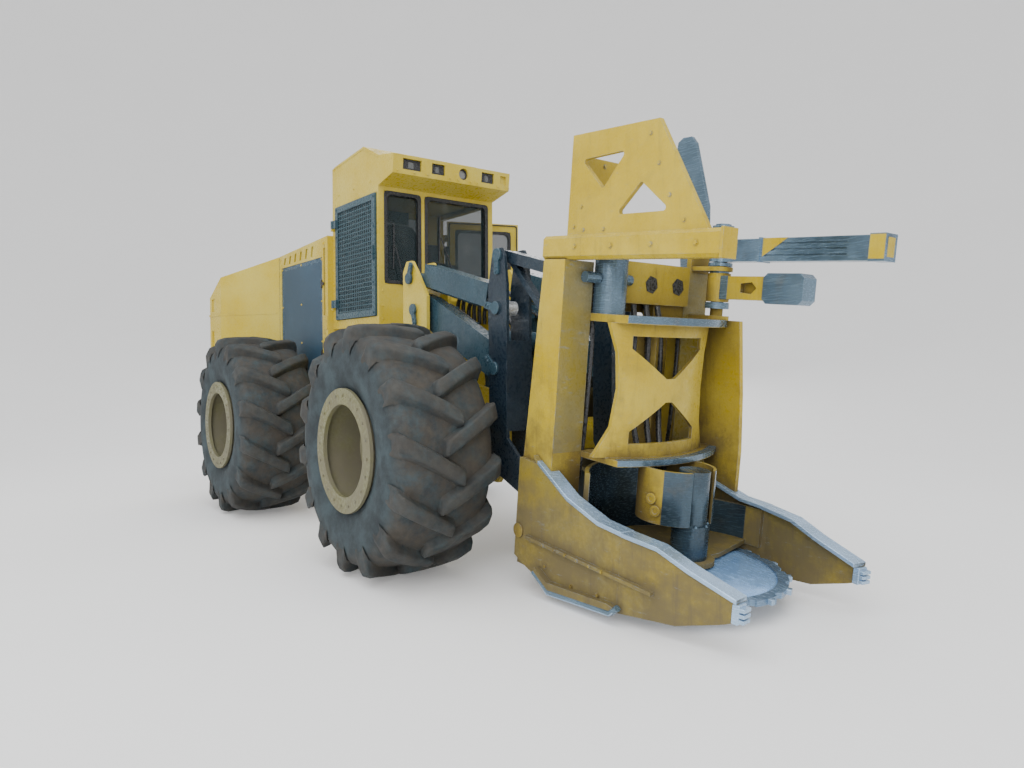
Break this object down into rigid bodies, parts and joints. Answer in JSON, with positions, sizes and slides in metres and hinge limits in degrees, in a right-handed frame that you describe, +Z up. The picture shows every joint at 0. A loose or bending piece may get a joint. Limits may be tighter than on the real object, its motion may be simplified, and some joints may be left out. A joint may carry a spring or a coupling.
{
  "type": "wheeled feller buncher",
  "caption": "Articulated wheeled feller buncher with an enclosed cab, a flared engine enclosure and a disc saw felling head on lift arms.",
  "frame": {"origin": "on the ground under the middle of the machine's bounding box", "axes": "+X forward, +Y to the machine's left, +Z up"},
  "size_m": [7.6546, 3.21, 3.5999],
  "materials": {
    "yellow": "satin",
    "dark": "satin",
    "screen": "matte",
    "steel": "polished",
    "worn": "worn",
    "tyre": "matte",
    "glass": "clear",
    "lamp": "gloss",
    "cast": "rough",
    "trim": "matte",
    "fabric": "matte"
  },
  "bodies": {
    "rear_body": {"rear_frame": "yellow", "rear_axle": "yellow", "engine_block": "cast", "hood_front": "yellow", "side_screens": "screen", "hood_rear": "yellow", "rear_grille": "screen", "rear_bumper": "yellow", "cab_frame": "yellow", "cab_roof": "yellow", "cab_glass": "glass", "cab_lamps": "lamp", "seat": "fabric", "console": "trim"},
    "guard_body": {"guard_door": "dark"},
    "door_body": {"cab_door": "yellow", "door_glass": "glass"},
    "front_body": {"front_frame": "yellow", "front_axle": "yellow"},
    "steering_barrel_right": {"steer_barrel_right": "dark"},
    "steering_rod_right": {"steer_rod_right": "steel"},
    "steering_barrel_left": {"steer_barrel_left": "dark"},
    "steering_rod_left": {"steer_rod_left": "steel"},
    "boom_body": {"boom": "dark"},
    "lift_barrel_body": {"lift_barrels": "dark"},
    "lift_rod_body": {"lift_rods": "steel"},
    "tilt_barrel_body": {"tilt_barrels": "dark"},
    "tilt_rod_body": {"tilt_rods": "steel"},
    "head_body": {"carriage": "dark", "head_frame": "yellow", "horns": "yellow", "wear_plates": "worn", "saw_housing": "yellow", "saw_column": "worn"},
    "saw_body": {"saw_disc": "worn"},
    "upper_arm_body": {"upper_arm": "worn"},
    "lower_arm_body": {"lower_arm": "worn"},
    "wheel_front_right": {"tyre_front_right": "tyre", "rim_front_right": "yellow"},
    "wheel_front_left": {"tyre_front_left": "tyre", "rim_front_left": "yellow"},
    "wheel_rear_right": {"tyre_rear_right": "tyre", "rim_rear_right": "yellow"},
    "wheel_rear_left": {"tyre_rear_left": "tyre", "rim_rear_left": "yellow"}
  },
  "joints": [
    {"name": "steering", "type": "hinge", "parent": "rear_body", "child": "front_body", "pos_m": [0.10273, 0, 0.85], "axis": [0, 0, 1], "range_deg": [-38, 38]},
    {"name": "left_door", "type": "hinge", "parent": "rear_body", "child": "door_body", "pos_m": [-1.23727, 0.664, 2.55], "axis": [0, 0, 1], "range_deg": [-70, 15]},
    {"name": "right_guard", "type": "hinge", "parent": "rear_body", "child": "guard_body", "pos_m": [-1.21727, -0.684, 2.55], "axis": [0, 0, 1], "range_deg": [-80, 0]},
    {"name": "front_right_wheel", "type": "hinge", "parent": "front_body", "child": "wheel_front_right", "pos_m": [1.03773, -1.212, 0.92], "axis": [0, 1, 0], "continuous": true},
    {"name": "front_left_wheel", "type": "hinge", "parent": "front_body", "child": "wheel_front_left", "pos_m": [1.03773, 1.212, 0.92], "axis": [0, 1, 0], "continuous": true},
    {"name": "rear_right_wheel", "type": "hinge", "parent": "rear_body", "child": "wheel_rear_right", "pos_m": [-2.03227, -1.212, 0.92], "axis": [0, 1, 0], "continuous": true},
    {"name": "rear_left_wheel", "type": "hinge", "parent": "rear_body", "child": "wheel_rear_left", "pos_m": [-2.03227, 1.212, 0.92], "axis": [0, 1, 0], "continuous": true},
    {"name": "steering_barrel_swing_right", "type": "hinge", "parent": "rear_body", "child": "steering_barrel_right", "pos_m": [-0.83727, -0.505, 0.85], "axis": [0, 0, 1], "range_deg": [-3.6, 3.6]},
    {"name": "steering_rod_slide_right", "type": "slide", "parent": "steering_barrel_right", "child": "steering_rod_right", "axis": [0.9938, 0.111, 0], "range_m": [-0.254, 0.254]},
    {"name": "steering_barrel_swing_left", "type": "hinge", "parent": "rear_body", "child": "steering_barrel_left", "pos_m": [-0.83727, 0.505, 0.85], "axis": [0, 0, 1], "range_deg": [-3.6, 3.6]},
    {"name": "steering_rod_slide_left", "type": "slide", "parent": "steering_barrel_left", "child": "steering_rod_left", "axis": [0.9938, -0.111, 0], "range_m": [-0.254, 0.254]},
    {"name": "boom_lift", "type": "hinge", "parent": "front_body", "child": "boom_body", "pos_m": [0.38273, 0, 2], "axis": [0, -1, 0], "range_deg": [0, 35]},
    {"name": "lift_barrel_swing", "type": "hinge", "parent": "front_body", "child": "lift_barrel_body", "pos_m": [0.40273, 0, 0.95], "axis": [0, -1, 0], "range_deg": [-1, 12.2]},
    {"name": "lift_rod_slide", "type": "slide", "parent": "lift_barrel_body", "child": "lift_rod_body", "axis": [0.8217, 0, 0.5699], "range_m": [-0.005, 0.512]},
    {"name": "tilt_barrel_swing", "type": "hinge", "parent": "front_body", "child": "tilt_barrel_body", "pos_m": [0.31273, 0, 2.27], "axis": [0, -1, 0], "range_deg": [-1, 33.8]},
    {"name": "tilt_rod_slide", "type": "slide", "parent": "tilt_barrel_body", "child": "tilt_rod_body", "axis": [0.9672, 0, -0.2541], "range_m": [-0.185, 0.113]},
    {"name": "head_tilt", "type": "hinge", "parent": "boom_body", "child": "head_body", "pos_m": [1.54273, 0, 1.5], "axis": [0, -1, 0], "range_deg": [-15, 25]},
    {"name": "saw_spin", "type": "hinge", "parent": "head_body", "child": "saw_body", "pos_m": [2.80273, 0, 0.19], "axis": [0.1045, 0, 0.9945], "continuous": true},
    {"name": "upper_arm_swing", "type": "hinge", "parent": "head_body", "child": "upper_arm_body", "pos_m": [2.60559, 0.6, 2.33234], "axis": [0.1045, 0, 0.9945], "range_deg": [-60, 10]},
    {"name": "lower_arm_swing", "type": "hinge", "parent": "head_body", "child": "lower_arm_body", "pos_m": [2.57841, 0.6, 2.07377], "axis": [0.1045, 0, 0.9945], "range_deg": [-60, 10]}
  ],
  "couplings": [
    {"joint": "lift_barrel_swing", "follows": "boom_lift", "ratio": 0.3202},
    {"joint": "lift_rod_slide", "follows": "boom_lift", "m_per_rad": 0.8306},
    {"joint": "tilt_barrel_swing", "follows": "boom_lift", "ratio": 0.9357},
    {"joint": "tilt_rod_slide", "follows": "head_tilt", "m_per_rad": -0.4115},
    {"joint": "steering_barrel_swing_right", "follows": "steering", "ratio": -0.0695},
    {"joint": "steering_rod_slide_right", "follows": "steering", "m_per_rad": 0.3762},
    {"joint": "steering_barrel_swing_left", "follows": "steering", "ratio": -0.0695},
    {"joint": "steering_rod_slide_left", "follows": "steering", "m_per_rad": -0.3762}
  ]
}
